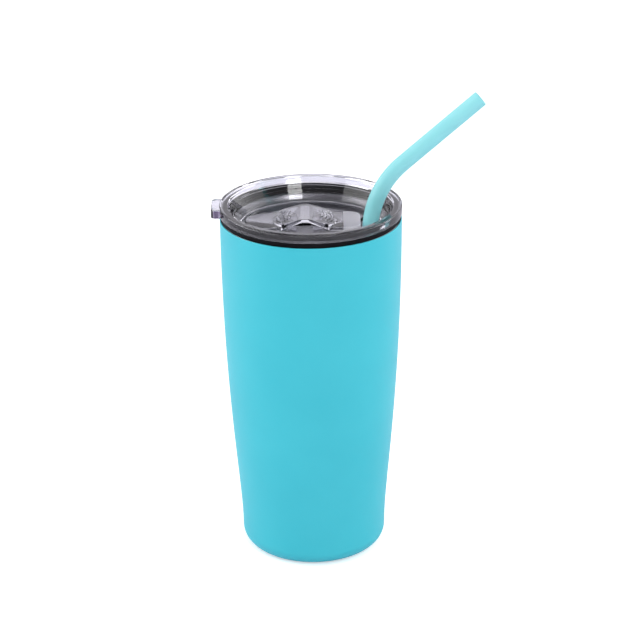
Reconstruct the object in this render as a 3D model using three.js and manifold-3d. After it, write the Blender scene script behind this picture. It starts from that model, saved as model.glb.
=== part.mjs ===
// Insulated tumbler with a clear sliding lid and a bent silicone straw.
// Millimetres, +Z up. The origin is the centre of the base, on the surface the cup stands on.
// +X points to the drinking hole and the straw, -X to the thumb tab of the lid.

import * as THREE from 'three';
import { mergeVertices } from 'three/addons/utils/BufferGeometryUtils.js';
import Module from 'manifold-3d';

const wasm = await Module();
wasm.setup();

// ---- driving dimensions -------------------------------------------------------------------

const ROUND = 40;                 // sides of every large turned piece
const ROUND_SMALL = 16;           // sides of small turned pieces and round corners
const PROUD = 1;                  // how far a cutter stands out of what it cuts
const TOUCH = 0.05;               // gap between pieces that touch or are welded face to face
const CLEAR = 0.3;                // gap between pieces that fit loosely

const CUP = {
  height: 171,
  baseRadius: 35.56,              // where the bottom corner meets the side
  mouthRadius: 43.59,
  cornerRadius: 8,
  lowerPull: 25,                  // how far the side stays nearly upright above the corner
  upperPull: 94,                  // and below the mouth
  shellWall: 0.6,
  linerWall: 0.5,
  vacuum: 1.6,                    // between shell and liner
  mouthVacuum: 0.3,               // where the two meet under the rim
  mouthDepth: 10,                 // straight part of the mouth that takes the lid
  rolledLip: 0.2,                 // the shell's lip stands this much above the liner's
  flareDepth: 10,                 // below it, where the liner moves in to its own taper
  floorHeight: 8.4,               // inside floor above the table
  linerCorner: 4,
  linerJoint: 13,                 // height of the weld between liner and liner floor
  baseOpening: 26.5,              // hole in the shell's foot, closed by the base
};

const BASE = {
  bottom: CUP.shellWall + CLEAR,
  thickness: 0.6,
  radius: 28.2,
  dimpleRadius: 4,
  dimpleFoot: 6,
  dimpleRise: 1,
  portRadius: 0.8,
};

const COVER = {
  radius: CUP.baseOpening - CLEAR,
  thickness: 0.8,
  bevel: 0.3,
  grooveRadius: 19.2,
  grooveHalf: 0.9,                // half the groove's width at its lip
  grooveFloor: 0.5,               // and at its floor
  grooveDepth: 0.3,
};

const SOLDER = { radius: 2.2, seatRadius: 2, crownRadius: 1.5, depth: 0.7, shoulder: 0.55, edge: 0.15 };

const FOIL = { thickness: 0.2, aboveJoint: 7, belowMouth: 26 };

const GETTER = { x: -15, radius: 4.4, height: 2.2, cupWall: 0.4, cupHeight: 2.6 };

const LID = {
  underside: 173.5,               // face of the rim that sits on the seal
  top: 178,
  rimRadius: 43.7,
  beadWidth: 1.3,
  beadHeight: 0.4,
  ringInner: 39.9,                // inner edge of the flat top ring
  plugRadius: 39.4,
  plugBottom: 169,
  floorTop: 167.5,
  floorThickness: 2,
  floorRadius: 33.7,
  floorEdge: 35.5,
  dishTop: { inward: 0.5, down: 0.4 },   // where the dish wall starts, from the ring's edge
  dishFoot: { outward: 0.6, up: 0.4 },   // and where it ends, from the floor's edge
  steps: 4,                       // shallow rings moulded into the dish wall
  stepWidth: 0.25,
  stepRise: 0.12,
  edge: 0.4,
  tabRoot: 3,                     // how deep the tab is rooted in the rim
  tabReach: 47.5,
  tabWidth: 18,
  tabCorner: 2.5,
};

const HOLE = { x: 28.5, radius: 4.6, length: 20 };
const SLOT = { start: -14.5, end: 14.3, width: 5.6 };
const VENT = { x: -32.65, radius: 0.85 };
const ALMOST = 0.01;              // keeps a full round end from closing on itself

const SEAL = { radius: 43, skirtRadius: 41.3, lipRadius: 41.7, lipRise: 0.5, bottom: 169.4, edge: 0.3, fit: 0.2 };

const SLIDER = {
  x: -2.8,                        // middle of the grip, as left with the drinking hole open
  nose: -31.6,                    // tip of the round end
  end: 23.7,                      // square end, beside the drinking hole
  width: 22,
  corner: 5,
  thickness: 2,
  gripHeight: 4,
  gripRadius: 15.6,
  crest: 3,
  roofWall: 1.7,                  // the grip is a hollow roof of this wall
  archReach: 12.5,
  legX: 6,
  legLength: 4,
  legRise: 1.2,                   // how far a leg reaches up into the roof, above the plate
  legWidth: 4.8,
  hookWidth: 7.8,
  hookHeight: 1.3,
};

const STRAW = {
  radius: 3.9,
  bore: 2.75,
  bottom: 12,
  bendStart: 163.84,
  bendRadius: 43.4,
  bendAngle: THREE.MathUtils.degToRad(50.1),
  heading: THREE.MathUtils.degToRad(5),
  mouthLeg: 47.8,
  sides: 12,
  steps: 32,
};

// ---- materials ----------------------------------------------------------------------------

const finish = (color, roughness, metalness) => ({ color, roughness, metalness });
const FINISHES = {
  powderCoat: finish(0x3fc4d6, 0.5, 0.1),
  steel: finish(0xb9bcc0, 0.32, 1),
  copper: finish(0xc57a4e, 0.35, 1),
  solder: finish(0x6d7075, 0.5, 0.4),
  sinter: finish(0x4c4d50, 0.9, 0.5),
  clear: finish(0xd9dce6, 0.08, 0),
  blackSilicone: finish(0x141315, 0.6, 0),
  tealSilicone: finish(0x8fe0e6, 0.55, 0),
};

// ---- helpers ------------------------------------------------------------------------------

const point = (radius, height) => new THREE.Vector2(radius, height);

/** Turned solid about Z. The outline runs anticlockwise in (radius, height). */
function turned(outline, sides = ROUND) {
  const closes = outline[0].x > 0 ? [...outline, outline[0].clone()] : outline;
  return new THREE.LatheGeometry(closes, sides).rotateX(Math.PI / 2);
}

/** Points of an arc in (radius, height) about a centre, both ends included. */
function arc(centre, radius, fromDegrees, toDegrees, count) {
  return Array.from({ length: count + 1 }, (_, i) => {
    const angle = THREE.MathUtils.degToRad(fromDegrees + ((toDegrees - fromDegrees) * i) / count);
    return point(centre.x + radius * Math.cos(angle), centre.y + radius * Math.sin(angle));
  });
}

/** Rectangle with round corners, centred on (x, 0). */
function roundedRectangle(x, length, width, corner) {
  const shape = new THREE.Shape();
  const right = x + length / 2 - corner;
  const left = x - length / 2 + corner;
  const side = width / 2 - corner;
  const quarter = Math.PI / 2;
  shape.absarc(right, side, corner, 0, quarter);
  shape.absarc(left, side, corner, quarter, 2 * quarter);
  shape.absarc(left, -side, corner, 2 * quarter, 3 * quarter);
  shape.absarc(right, -side, corner, 3 * quarter, 4 * quarter);
  return shape;
}

/** Upright prism of a shape between two heights. */
function prism(shape, bottom, top, curveSegments = 4) {
  const options = { depth: top - bottom, bevelEnabled: false, curveSegments };
  return new THREE.ExtrudeGeometry(shape, options).translate(0, 0, bottom);
}

/** Box between two corners. */
function block(low, high) {
  const size = high.map((value, i) => value - low[i]);
  const centre = high.map((value, i) => (value + low[i]) / 2);
  return new THREE.BoxGeometry(...size).translate(...centre);
}

/** A closed geometry as a solid that can be joined and cut. */
function solid(geometry) {
  const bare = geometry.clone();
  bare.deleteAttribute('normal');
  bare.deleteAttribute('uv');
  const merged = mergeVertices(bare, 1e-4);
  return new wasm.Manifold(new wasm.Mesh({
    numProp: 3,
    vertProperties: merged.attributes.position.array,
    triVerts: Uint32Array.from(merged.index.array),
  }));
}

/** A solid as a geometry again. */
function geometryOf(body) {
  const mesh = body.getMesh();
  const geometry = new THREE.BufferGeometry();
  geometry.setAttribute('position', new THREE.BufferAttribute(mesh.vertProperties, 3));
  geometry.setIndex(new THREE.BufferAttribute(mesh.triVerts, 1));
  return geometry;
}

// ---- the side of the cup ------------------------------------------------------------------

const side = new THREE.CubicBezierCurve(
  point(CUP.baseRadius, CUP.cornerRadius),
  point(CUP.baseRadius, CUP.cornerRadius + CUP.lowerPull),
  point(CUP.mouthRadius, CUP.height - CUP.upperPull),
  point(CUP.mouthRadius, CUP.height),
);

/** Outer radius of the cup at a height above the bottom corner, found by halving. */
function sideRadius(height) {
  let low = 0;
  let high = 1;
  for (let i = 0; i < 30; i += 1) {
    const middle = (low + high) / 2;
    if (side.getPoint(middle).y < height) low = middle;
    else high = middle;
  }
  return side.getPoint(low).x;
}

/** Width of the vacuum space at a height: even below, closing up under the mouth. */
function vacuumAt(height) {
  const flareTop = CUP.height - CUP.mouthDepth;
  const blend = THREE.MathUtils.smoothstep(height, flareTop - CUP.flareDepth, flareTop);
  return THREE.MathUtils.lerp(CUP.vacuum, CUP.mouthVacuum, blend);
}

const linerOuter = (height) => sideRadius(height) - CUP.shellWall - vacuumAt(height);
const linerInner = (height) => linerOuter(height) - CUP.linerWall;

/** Points of a wall along a list of heights. */
const wall = (radiusAt, heights) => heights.map((height) => point(radiusAt(height), height));

/** Even heights between two ends, both included. */
const heightsBetween = (from, to, count) =>
  Array.from({ length: count + 1 }, (_, i) => from + ((to - from) * i) / count);

// ---- cup ----------------------------------------------------------------------------------

function outerShell() {
  const cornerCentre = point(CUP.baseRadius - CUP.cornerRadius, CUP.cornerRadius);
  const rimRound = 0.4;
  const heights = heightsBetween(CUP.cornerRadius, CUP.height - rimRound, 9).slice(1);
  const inside = (height) => sideRadius(height) - CUP.shellWall;
  return turned([
    point(CUP.baseOpening, 0),
    ...arc(cornerCentre, CUP.cornerRadius, -90, 0, 4),
    ...wall(sideRadius, heights),
    point(CUP.mouthRadius - rimRound, CUP.height),
    point(CUP.mouthRadius - CUP.shellWall, CUP.height),
    ...wall(inside, heights).reverse(),
    ...arc(cornerCentre, CUP.cornerRadius - CUP.shellWall, 0, -90, 4),
    point(CUP.baseOpening, CUP.shellWall),
  ]);
}

function outerBase() {
  const low = BASE.bottom;
  const high = low + BASE.thickness;
  return turned([
    point(BASE.portRadius, low + BASE.dimpleRise),
    point(BASE.dimpleRadius, low + BASE.dimpleRise),
    point(BASE.dimpleFoot, low),
    point(BASE.radius, low),
    point(BASE.radius, high),
    point(BASE.dimpleFoot + CLEAR, high),
    point(BASE.dimpleRadius + CLEAR, high + BASE.dimpleRise),
    point(BASE.portRadius, high + BASE.dimpleRise),
  ]);
}

function solderBead() {
  const seat = BASE.bottom + BASE.dimpleRise - CLEAR / 2;
  return turned([
    point(0, seat - SOLDER.depth),
    point(SOLDER.crownRadius, seat - SOLDER.shoulder),
    point(SOLDER.radius, seat - SOLDER.edge),
    point(SOLDER.seatRadius, seat),
    point(BASE.portRadius - CLEAR, seat),
    point(BASE.portRadius - CLEAR, seat + BASE.thickness),
    point(0, seat + BASE.thickness),
  ], ROUND_SMALL);
}

function baseCover() {
  const groove = COVER.grooveRadius;
  return turned([
    point(0, 0),
    point(groove - COVER.grooveHalf, 0),
    point(groove - COVER.grooveFloor, COVER.grooveDepth),
    point(groove + COVER.grooveFloor, COVER.grooveDepth),
    point(groove + COVER.grooveHalf, 0),
    point(COVER.radius - COVER.bevel, 0),
    point(COVER.radius, COVER.bevel),
    point(COVER.radius, COVER.thickness),
    point(0, COVER.thickness),
  ]);
}

function innerLiner() {
  const top = CUP.height - CUP.rolledLip;
  const flareTop = CUP.height - CUP.mouthDepth;
  const heights = [
    ...heightsBetween(CUP.linerJoint + TOUCH, flareTop - CUP.flareDepth, 6),
    flareTop - CUP.flareDepth / 2,
    flareTop,
    top,
  ];
  return turned([...wall(linerOuter, heights), ...wall(linerInner, heights).reverse()]);
}

function linerFloor() {
  const reach = linerInner(CUP.linerJoint) - CUP.linerCorner;
  const centre = point(reach, CUP.floorHeight + CUP.linerCorner);
  return turned([
    point(0, CUP.floorHeight - CUP.linerWall),
    ...arc(centre, CUP.linerCorner + CUP.linerWall, -90, 0, 4),
    point(linerOuter(CUP.linerJoint), CUP.linerJoint),
    point(linerInner(CUP.linerJoint), CUP.linerJoint),
    ...arc(centre, CUP.linerCorner, 0, -90, 4),
    point(0, CUP.floorHeight),
  ]);
}

function copperFoil() {
  const heights = heightsBetween(CUP.linerJoint + FOIL.aboveJoint, CUP.height - FOIL.belowMouth, 5);
  const inner = (height) => linerOuter(height) + CLEAR;
  const outer = (height) => inner(height) + FOIL.thickness;
  return turned([...wall(outer, heights), ...wall(inner, heights).reverse()]);
}

const getterSeat = BASE.bottom + BASE.thickness + CLEAR;

function getterHolder() {
  const inside = GETTER.radius + CLEAR;
  return turned([
    point(0, getterSeat),
    point(inside + GETTER.cupWall, getterSeat),
    point(inside + GETTER.cupWall, getterSeat + GETTER.cupHeight),
    point(inside, getterSeat + GETTER.cupHeight),
    point(inside, getterSeat + GETTER.cupWall),
    point(0, getterSeat + GETTER.cupWall),
  ], ROUND_SMALL).translate(GETTER.x, 0, 0);
}

function getter() {
  const bottom = getterSeat + GETTER.cupWall + CLEAR;
  const centre = bottom + GETTER.height / 2;
  return new THREE.CylinderGeometry(GETTER.radius, GETTER.radius, GETTER.height, ROUND_SMALL)
    .rotateX(Math.PI / 2)
    .translate(GETTER.x, 0, centre);
}

// ---- lid ----------------------------------------------------------------------------------

/** Dish wall from the top ring down to the floor, as a flight of shallow sloping rings. */
function dishWall() {
  const { dishTop, dishFoot } = LID;
  const start = point(LID.ringInner - dishTop.inward, LID.top - LID.beadHeight - dishTop.down);
  const end = point(LID.floorRadius + dishFoot.outward, LID.floorTop + dishFoot.up);
  const points = [];
  for (let i = 0; i < LID.steps; i += 1) {
    const upper = start.clone().lerp(end, i / LID.steps);
    const lower = start.clone().lerp(end, (i + 1) / LID.steps);
    points.push(upper, point(lower.x + LID.stepWidth, lower.y + LID.stepRise));
  }
  return [...points, end];
}

/** Turned body of the lid, before its holes are cut. */
function lidBlank() {
  const { edge } = LID;
  const ringTop = LID.top - LID.beadHeight;
  const bead = LID.rimRadius - LID.beadWidth;
  return turned([
    point(0, LID.floorTop - LID.floorThickness),
    point(LID.floorEdge, LID.floorTop - LID.floorThickness),
    point(LID.plugRadius, LID.plugBottom),
    point(LID.plugRadius, LID.underside),
    point(LID.rimRadius - edge, LID.underside),
    point(LID.rimRadius, LID.underside + edge),
    point(LID.rimRadius, LID.top - edge),
    point(LID.rimRadius - edge, LID.top),
    point(bead + edge, LID.top),
    point(bead, ringTop),
    point(LID.ringInner, ringTop),
    ...dishWall(),
    point(LID.floorRadius, LID.floorTop),
    point(0, LID.floorTop),
  ]);
}

function thumbTab() {
  const inner = LID.rimRadius - LID.tabRoot;
  const length = LID.tabReach - inner;
  const outline = roundedRectangle(-(inner + length / 2), length, LID.tabWidth, LID.tabCorner);
  return prism(outline, LID.underside, LID.top - LID.beadHeight);
}

function lidBody() {
  const low = LID.floorTop - LID.floorThickness - PROUD;
  const high = LID.floorTop + PROUD;
  const drinkingHole = roundedRectangle(HOLE.x, 2 * HOLE.radius, HOLE.length, HOLE.radius - ALMOST);
  const slotLength = SLOT.end - SLOT.start;
  const slot = roundedRectangle((SLOT.start + SLOT.end) / 2, slotLength, SLOT.width, 1);
  const vent = roundedRectangle(VENT.x, 2 * VENT.radius, 2 * VENT.radius, VENT.radius - ALMOST);
  const body = solid(lidBlank())
    .add(solid(thumbTab()))
    .subtract(solid(prism(drinkingHole, low, high, 6)))
    .subtract(solid(prism(slot, low, high)))
    .subtract(solid(prism(vent, low, high, 3)));
  return geometryOf(body);
}

function lidSeal() {
  const inner = LID.plugRadius + SEAL.fit;
  const low = CUP.height + TOUCH;
  const high = LID.underside - TOUCH;
  const lip = SEAL.lipRise;
  return turned([
    point(inner, SEAL.bottom),
    point(SEAL.skirtRadius, SEAL.bottom),
    point(SEAL.lipRadius, SEAL.bottom + lip),
    point(SEAL.skirtRadius, SEAL.bottom + 2 * lip),
    point(SEAL.skirtRadius, low),
    point(SEAL.radius - SEAL.edge, low),
    point(SEAL.radius, low + SEAL.edge),
    point(SEAL.radius, high - SEAL.edge),
    point(SEAL.radius - SEAL.edge, high),
    point(inner, high),
  ]);
}

// ---- slider -------------------------------------------------------------------------------

const plateBottom = LID.floorTop + CLEAR;
const plateTop = plateBottom + SLIDER.thickness;

/** Outline of the plate: a square end by the drinking hole and a round nose by the thumb tab. */
function sliderOutline() {
  const half = SLIDER.width / 2;
  const side = half - SLIDER.corner;
  const right = SLIDER.end - SLIDER.corner;
  const quarter = Math.PI / 2;
  const shape = new THREE.Shape();
  shape.absarc(right, side, SLIDER.corner, 0, quarter);
  shape.absarc(SLIDER.nose + half, 0, half, quarter, 3 * quarter);
  shape.absarc(right, -side, SLIDER.corner, 3 * quarter, 4 * quarter);
  return shape;
}

/** A shape in (x, z) carried straight across the plate and beyond it on both sides. */
function across(shape, beyond) {
  const depth = SLIDER.width + 2 * beyond;
  return new THREE.ExtrudeGeometry(shape, { depth, bevelEnabled: false })
    .rotateX(Math.PI / 2)
    .translate(SLIDER.x, depth / 2, 0);
}

/** Roof-shaped thumb grip: a ridge across the plate, bounded by a circle on its centre. */
function thumbGrip() {
  const foot = plateTop - TOUCH;
  const crest = plateTop + SLIDER.gripHeight;
  const roof = new THREE.Shape([
    point(-SLIDER.gripRadius, foot),
    point(SLIDER.gripRadius, foot),
    point(SLIDER.crest / 2, crest),
    point(-SLIDER.crest / 2, crest),
  ]);
  const height = SLIDER.gripHeight + 2 * PROUD;
  const drum = new THREE.CylinderGeometry(SLIDER.gripRadius, SLIDER.gripRadius, height, ROUND)
    .rotateX(Math.PI / 2)
    .translate(SLIDER.x, 0, plateTop + SLIDER.gripHeight / 2);
  return solid(across(roof, 0)).intersect(solid(drum));
}

/** The hollow under the grip, open to the front and back. */
function gripHollow() {
  const top = plateTop + SLIDER.gripHeight - SLIDER.roofWall;
  const arch = new THREE.Shape([
    point(-SLIDER.archReach, plateBottom - PROUD),
    point(SLIDER.archReach, plateBottom - PROUD),
    point(SLIDER.archReach, plateBottom),
    point(SLIDER.crest / 2, top),
    point(-SLIDER.crest / 2, top),
    point(-SLIDER.archReach, plateBottom),
  ]);
  return solid(across(arch, PROUD));
}

/** Snap leg that hangs the slider in the slot of the lid floor. */
function snapLeg(x) {
  const hookTop = LID.floorTop - LID.floorThickness - CLEAR;
  const half = SLIDER.legLength / 2;
  const stem = block(
    [x - half, -SLIDER.legWidth / 2, hookTop - SLIDER.hookHeight],
    [x + half, SLIDER.legWidth / 2, plateTop + SLIDER.legRise],
  );
  const hook = new THREE.Shape([
    point(-SLIDER.hookWidth / 2, 0),
    point(-SLIDER.legWidth / 2, -SLIDER.hookHeight),
    point(SLIDER.legWidth / 2, -SLIDER.hookHeight),
    point(SLIDER.hookWidth / 2, 0),
  ]);
  const barb = new THREE.ExtrudeGeometry(hook, { depth: SLIDER.legLength, bevelEnabled: false })
    .rotateX(Math.PI / 2)
    .rotateZ(Math.PI / 2)
    .translate(x - half, 0, hookTop);
  return solid(stem).add(solid(barb));
}

function slider() {
  const body = solid(prism(sliderOutline(), plateBottom, plateTop, 12))
    .add(thumbGrip())
    .subtract(gripHollow())
    .add(snapLeg(SLIDER.x - SLIDER.legX))
    .add(snapLeg(SLIDER.x + SLIDER.legX));
  return geometryOf(body);
}

// ---- straw --------------------------------------------------------------------------------

/** Centre line: straight up through the lid, one bend, then a straight mouth leg. */
class StrawPath extends THREE.Curve {
  constructor() {
    super();
    this.leg = STRAW.bendStart - STRAW.bottom;
    this.bend = STRAW.bendRadius * STRAW.bendAngle;
    this.total = this.leg + this.bend + STRAW.mouthLeg;
  }

  getPoint(t, target = new THREE.Vector3()) {
    const along = t * this.total;
    const turn = THREE.MathUtils.clamp((along - this.leg) / STRAW.bendRadius, 0, STRAW.bendAngle);
    const beyond = Math.max(along - this.leg - this.bend, 0);
    const out = STRAW.bendRadius * (1 - Math.cos(turn)) + beyond * Math.sin(turn);
    const up = STRAW.bendRadius * Math.sin(turn) + beyond * Math.cos(turn);
    return target.set(
      HOLE.x + out * Math.cos(STRAW.heading),
      out * Math.sin(STRAW.heading),
      STRAW.bottom + Math.min(along, this.leg) + up,
    );
  }
}

function straw() {
  const ring = new THREE.Shape().absarc(0, 0, STRAW.radius, 0, 2 * Math.PI);
  ring.holes.push(new THREE.Path().absarc(0, 0, STRAW.bore, 0, 2 * Math.PI, true));
  return new THREE.ExtrudeGeometry(ring, {
    steps: STRAW.steps,
    curveSegments: STRAW.sides / 2,
    extrudePath: new StrawPath(),
  });
}

// ---- assembly -----------------------------------------------------------------------------

const pieces = [
  ['outer_shell', outerShell, FINISHES.powderCoat],
  ['outer_base', outerBase, FINISHES.steel],
  ['solder_bead', solderBead, FINISHES.solder],
  ['base_cover', baseCover, FINISHES.steel],
  ['inner_liner', innerLiner, FINISHES.steel],
  ['liner_floor', linerFloor, FINISHES.steel],
  ['copper_foil', copperFoil, FINISHES.copper],
  ['getter_holder', getterHolder, FINISHES.steel],
  ['getter', getter, FINISHES.sinter],
  ['lid_seal', lidSeal, FINISHES.blackSilicone],
  ['lid_body', lidBody, FINISHES.clear],
  ['slider', slider, FINISHES.clear],
  ['straw', straw, FINISHES.tealSilicone],
];

const tumbler = new THREE.Group();
for (const [name, build, look] of pieces) {
  const mesh = new THREE.Mesh(build(), new THREE.MeshStandardMaterial(look));
  mesh.name = name;
  tumbler.add(mesh);
}

export default tumbler;
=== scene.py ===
"""Looks of an insulated tumbler with a clear sliding lid and a bent silicone straw.

All sizes are in metres. +Z is up, +X points to the drinking hole, -X to the lid's thumb tab.
"""
import contextlib
import enum
import logging
import math
from dataclasses import dataclass, field
from typing import Callable, Iterator, Sequence

import bmesh
import bpy
from mathutils import Matrix, Vector


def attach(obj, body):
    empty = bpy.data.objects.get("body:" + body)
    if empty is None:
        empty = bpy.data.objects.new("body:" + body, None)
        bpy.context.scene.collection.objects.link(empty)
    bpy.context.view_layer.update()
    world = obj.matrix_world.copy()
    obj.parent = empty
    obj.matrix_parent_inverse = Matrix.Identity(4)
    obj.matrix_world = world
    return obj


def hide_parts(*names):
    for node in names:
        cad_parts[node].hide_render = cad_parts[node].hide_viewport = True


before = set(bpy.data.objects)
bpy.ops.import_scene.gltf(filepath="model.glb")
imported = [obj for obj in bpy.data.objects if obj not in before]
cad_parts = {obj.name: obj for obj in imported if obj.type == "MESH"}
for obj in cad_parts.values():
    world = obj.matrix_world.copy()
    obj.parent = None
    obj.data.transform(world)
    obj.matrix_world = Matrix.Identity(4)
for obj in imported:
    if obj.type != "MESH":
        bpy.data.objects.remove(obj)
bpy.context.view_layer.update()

MM = 0.001
SIDES = 192                 # faces round a turned piece
NUDGE = 1e-4                # keeps a whole number from rounding down
ON_AXIS = 1e-9
WELD = 1e-7                 # points closer than this are one

log = logging.getLogger("tumbler")

Point2 = tuple[float, float]
Corner = tuple[float, float, float]
Colour = tuple[float, float, float, float]


def rgb(red: float, green: float, blue: float) -> Colour:
    """An opaque linear colour."""
    return (red, green, blue, 1.0)


# ---- node trees -----------------------------------------------------------------------------


class Value:
    """A number socket that works in Python expressions."""

    def __init__(self, kit: "NodeKit", socket: bpy.types.NodeSocket) -> None:
        """Wraps an output socket."""
        self.kit = kit
        self.socket = socket

    def __add__(self, other: "Value | float") -> "Value":
        """Sum."""
        return self.kit.math("ADD", self, other)

    def __radd__(self, other: float) -> "Value":
        """Sum with a plain number first."""
        return self.kit.math("ADD", other, self)

    def __sub__(self, other: "Value | float") -> "Value":
        """Difference."""
        return self.kit.math("SUBTRACT", self, other)

    def __rsub__(self, other: float) -> "Value":
        """Difference from a plain number."""
        return self.kit.math("SUBTRACT", other, self)

    def __mul__(self, other: "Value | float") -> "Value":
        """Product."""
        return self.kit.math("MULTIPLY", self, other)

    def __rmul__(self, other: float) -> "Value":
        """Product with a plain number first."""
        return self.kit.math("MULTIPLY", other, self)

    def __truediv__(self, other: "Value | float") -> "Value":
        """Quotient."""
        return self.kit.math("DIVIDE", self, other)

    def __mod__(self, other: "Value | float") -> "Value":
        """Remainder."""
        return self.kit.math("MODULO", self, other)

    def apply(self, operation: str, *others: "Value | float") -> "Value":
        """Any other Math operation that takes this value first."""
        return self.kit.math(operation, self, *others)

    def above(self, limit: float, softness: float) -> "Value":
        """A mask that rises smoothly from 0 to 1 across a limit.

        Args:
            limit: where the mask is halfway.
            softness: half the width of the rise.

        Returns:
            The mask.
        """
        return self.kit.ramped(self, limit - softness, limit + softness)


class NodeKit:
    """Makes the nodes of one tree."""

    def __init__(self, tree: bpy.types.NodeTree) -> None:
        """Works in an existing node tree."""
        self.tree = tree

    def node(self, kind: str, settings: dict | None = None, **inputs: object) -> bpy.types.Node:
        """Makes a node.

        Args:
            kind: the node's type name.
            settings: attributes of the node, set before its sockets.
            inputs: a value or a link for each socket, named with _ for a space, or by number as
                in_0, in_1 and so on.

        Returns:
            The new node.
        """
        made = self.tree.nodes.new(kind)
        for name, setting in (settings or {}).items():
            setattr(made, name, setting)
        self.sets(made, **inputs)
        return made

    def sets(self, node: bpy.types.Node, **inputs: object) -> None:
        """Gives a node's sockets a value or a link each, named as node() has them."""
        for name, given in inputs.items():
            key = int(name[3:]) if name.startswith("in_") else name.replace("_", " ")
            self.feed(node.inputs[key], given)

    def feed(self, socket: bpy.types.NodeSocket, given: object) -> None:
        """Links a value or a socket to an input, or sets a plain value on it."""
        source = given.socket if isinstance(given, Value) else given
        if isinstance(source, bpy.types.NodeSocket):
            self.tree.links.new(source, socket)
        else:
            socket.default_value = source

    def value(self, node: bpy.types.Node, output: int | str = 0) -> Value:
        """Wraps one output of a node."""
        return Value(self, node.outputs[output])

    def math(self, operation: str, *terms: Value | float) -> Value:
        """Adds one Math node."""
        inputs = {f"in_{i}": term for i, term in enumerate(terms)}
        return self.value(self.node("ShaderNodeMath", {"operation": operation}, **inputs))

    def ramped(self, given: Value, low: float, high: float) -> Value:
        """Maps low..high to 0..1 smoothly, and clamps it."""
        settings = {"interpolation_type": "SMOOTHSTEP"}
        made = self.node("ShaderNodeMapRange", settings, Value=given, From_Min=low, From_Max=high)
        return self.value(made)

    def split(self, vector: bpy.types.NodeSocket) -> tuple[Value, Value, Value]:
        """The three parts of a vector."""
        parts = self.node("ShaderNodeSeparateXYZ", in_0=vector)
        return self.value(parts, 0), self.value(parts, 1), self.value(parts, 2)

    def join(self, x: Value | float, y: Value | float, z: Value | float) -> bpy.types.NodeSocket:
        """A vector of three numbers."""
        return self.node("ShaderNodeCombineXYZ", in_0=x, in_1=y, in_2=z).outputs[0]


class ShaderKit(NodeKit):
    """Makes the nodes of one material."""

    def place(self) -> bpy.types.NodeSocket:
        """Object coordinates."""
        return self.node("ShaderNodeTexCoord").outputs["Object"]

    def noise(self, vector: bpy.types.NodeSocket, scale: float, detail: float = 2.0) -> Value:
        """Noise from 0 to 1, its scale in cells per metre."""
        settings = {"normalize": True}
        made = self.node("ShaderNodeTexNoise", settings, Vector=vector, Scale=scale, Detail=detail)
        return self.value(made)

    def blend(self, share: Value | float, first: object, second: object) -> bpy.types.NodeSocket:
        """A mix of two colours."""
        settings = {"data_type": "RGBA", "clamp_factor": True}
        return self.node("ShaderNodeMix", settings, in_0=share, in_6=first, in_7=second).outputs[2]

    def shows_either(
        self, share: bpy.types.NodeSocket, first: bpy.types.Node, second: bpy.types.Node
    ) -> None:
        """Makes the material show the first shader where the share is 0 and the second at 1."""
        shaders = {"in_1": first.outputs[0], "in_2": second.outputs[0]}
        mixed = self.node("ShaderNodeMixShader", in_0=share, **shaders)
        self.sets(self.tree.nodes["Material Output"], Surface=mixed.outputs[0])

    def bump(self, height: Value, distance: float) -> bpy.types.NodeSocket:
        """A normal bent by a height from 0 to 1 that stands for a distance in metres."""
        return self.node("ShaderNodeBump", Height=height, Distance=distance).outputs[0]


class ShapeTree(NodeKit):
    """A Geometry Nodes tree with named inputs that ends in Realize Instances and Set Material."""

    KINDS = {int: "NodeSocketInt", float: "NodeSocketFloat"}

    def __init__(self, name: str, sizes: dict[str, int | float]) -> None:
        """Makes an empty tree.

        Args:
            name: the tree's name.
            sizes: name and value of each input besides the geometry and the material.
        """
        super().__init__(bpy.data.node_groups.new(name, "GeometryNodeTree"))
        self.sizes = sizes
        face = self.tree.interface
        face.new_socket("Geometry", in_out="INPUT", socket_type="NodeSocketGeometry")
        face.new_socket("Material", in_out="INPUT", socket_type="NodeSocketMaterial")
        for size, given in sizes.items():
            face.new_socket(size, in_out="INPUT", socket_type=self.KINDS[type(given)])
        face.new_socket("Geometry", in_out="OUTPUT", socket_type="NodeSocketGeometry")
        self.inputs = self.node("NodeGroupInput")

    def size(self, name: str) -> Value:
        """One of the named inputs."""
        return self.value(self.inputs, name)

    def index(self) -> Value:
        """The number of each point."""
        return self.value(self.node("GeometryNodeInputIndex"))

    def ends_in(self, geometry: bpy.types.NodeSocket) -> None:
        """Closes the tree with a geometry."""
        real = self.node("GeometryNodeRealizeInstances", in_0=geometry)
        material = self.inputs.outputs["Material"]
        dressed = self.node("GeometryNodeSetMaterial", Geometry=real.outputs[0], Material=material)
        self.node("NodeGroupOutput", in_0=dressed.outputs[0])

    def run(self, piece: bpy.types.Object, material: bpy.types.Material) -> None:
        """Runs the tree on a piece and keeps the result as its plain mesh."""
        modifier = piece.modifiers.new(self.tree.name, "NODES")
        modifier.node_group = self.tree
        given = {"Material": material, **self.sizes}
        for item in self.tree.interface.items_tree:
            if item.in_out == "INPUT" and item.name in given:
                modifier[item.identifier] = given[item.name]
        made_plain(piece)
        bpy.data.node_groups.remove(self.tree)
        faces = piece.data.polygons
        faces.foreach_set("material_index", [0] * len(faces))
        piece.data.materials.clear()
        piece.data.materials.append(material)


# ---- finishes -------------------------------------------------------------------------------


@dataclass(frozen=True)
class Finish:
    """A surface finish, shared by every piece that has it."""

    name: str

    def material(self) -> bpy.types.Material:
        """The finish's material, made the first time that it is asked for."""
        known = bpy.data.materials.get(self.name)
        if known:
            return known
        made = bpy.data.materials.new(self.name)
        made.use_nodes = True
        self.dress(ShaderKit(made.node_tree), made.node_tree.nodes["Principled BSDF"])
        return made

    def dress(self, kit: ShaderKit, shader: bpy.types.Node) -> None:
        """Sets the shader's sockets. Each finish has its own."""
        raise NotImplementedError


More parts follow.
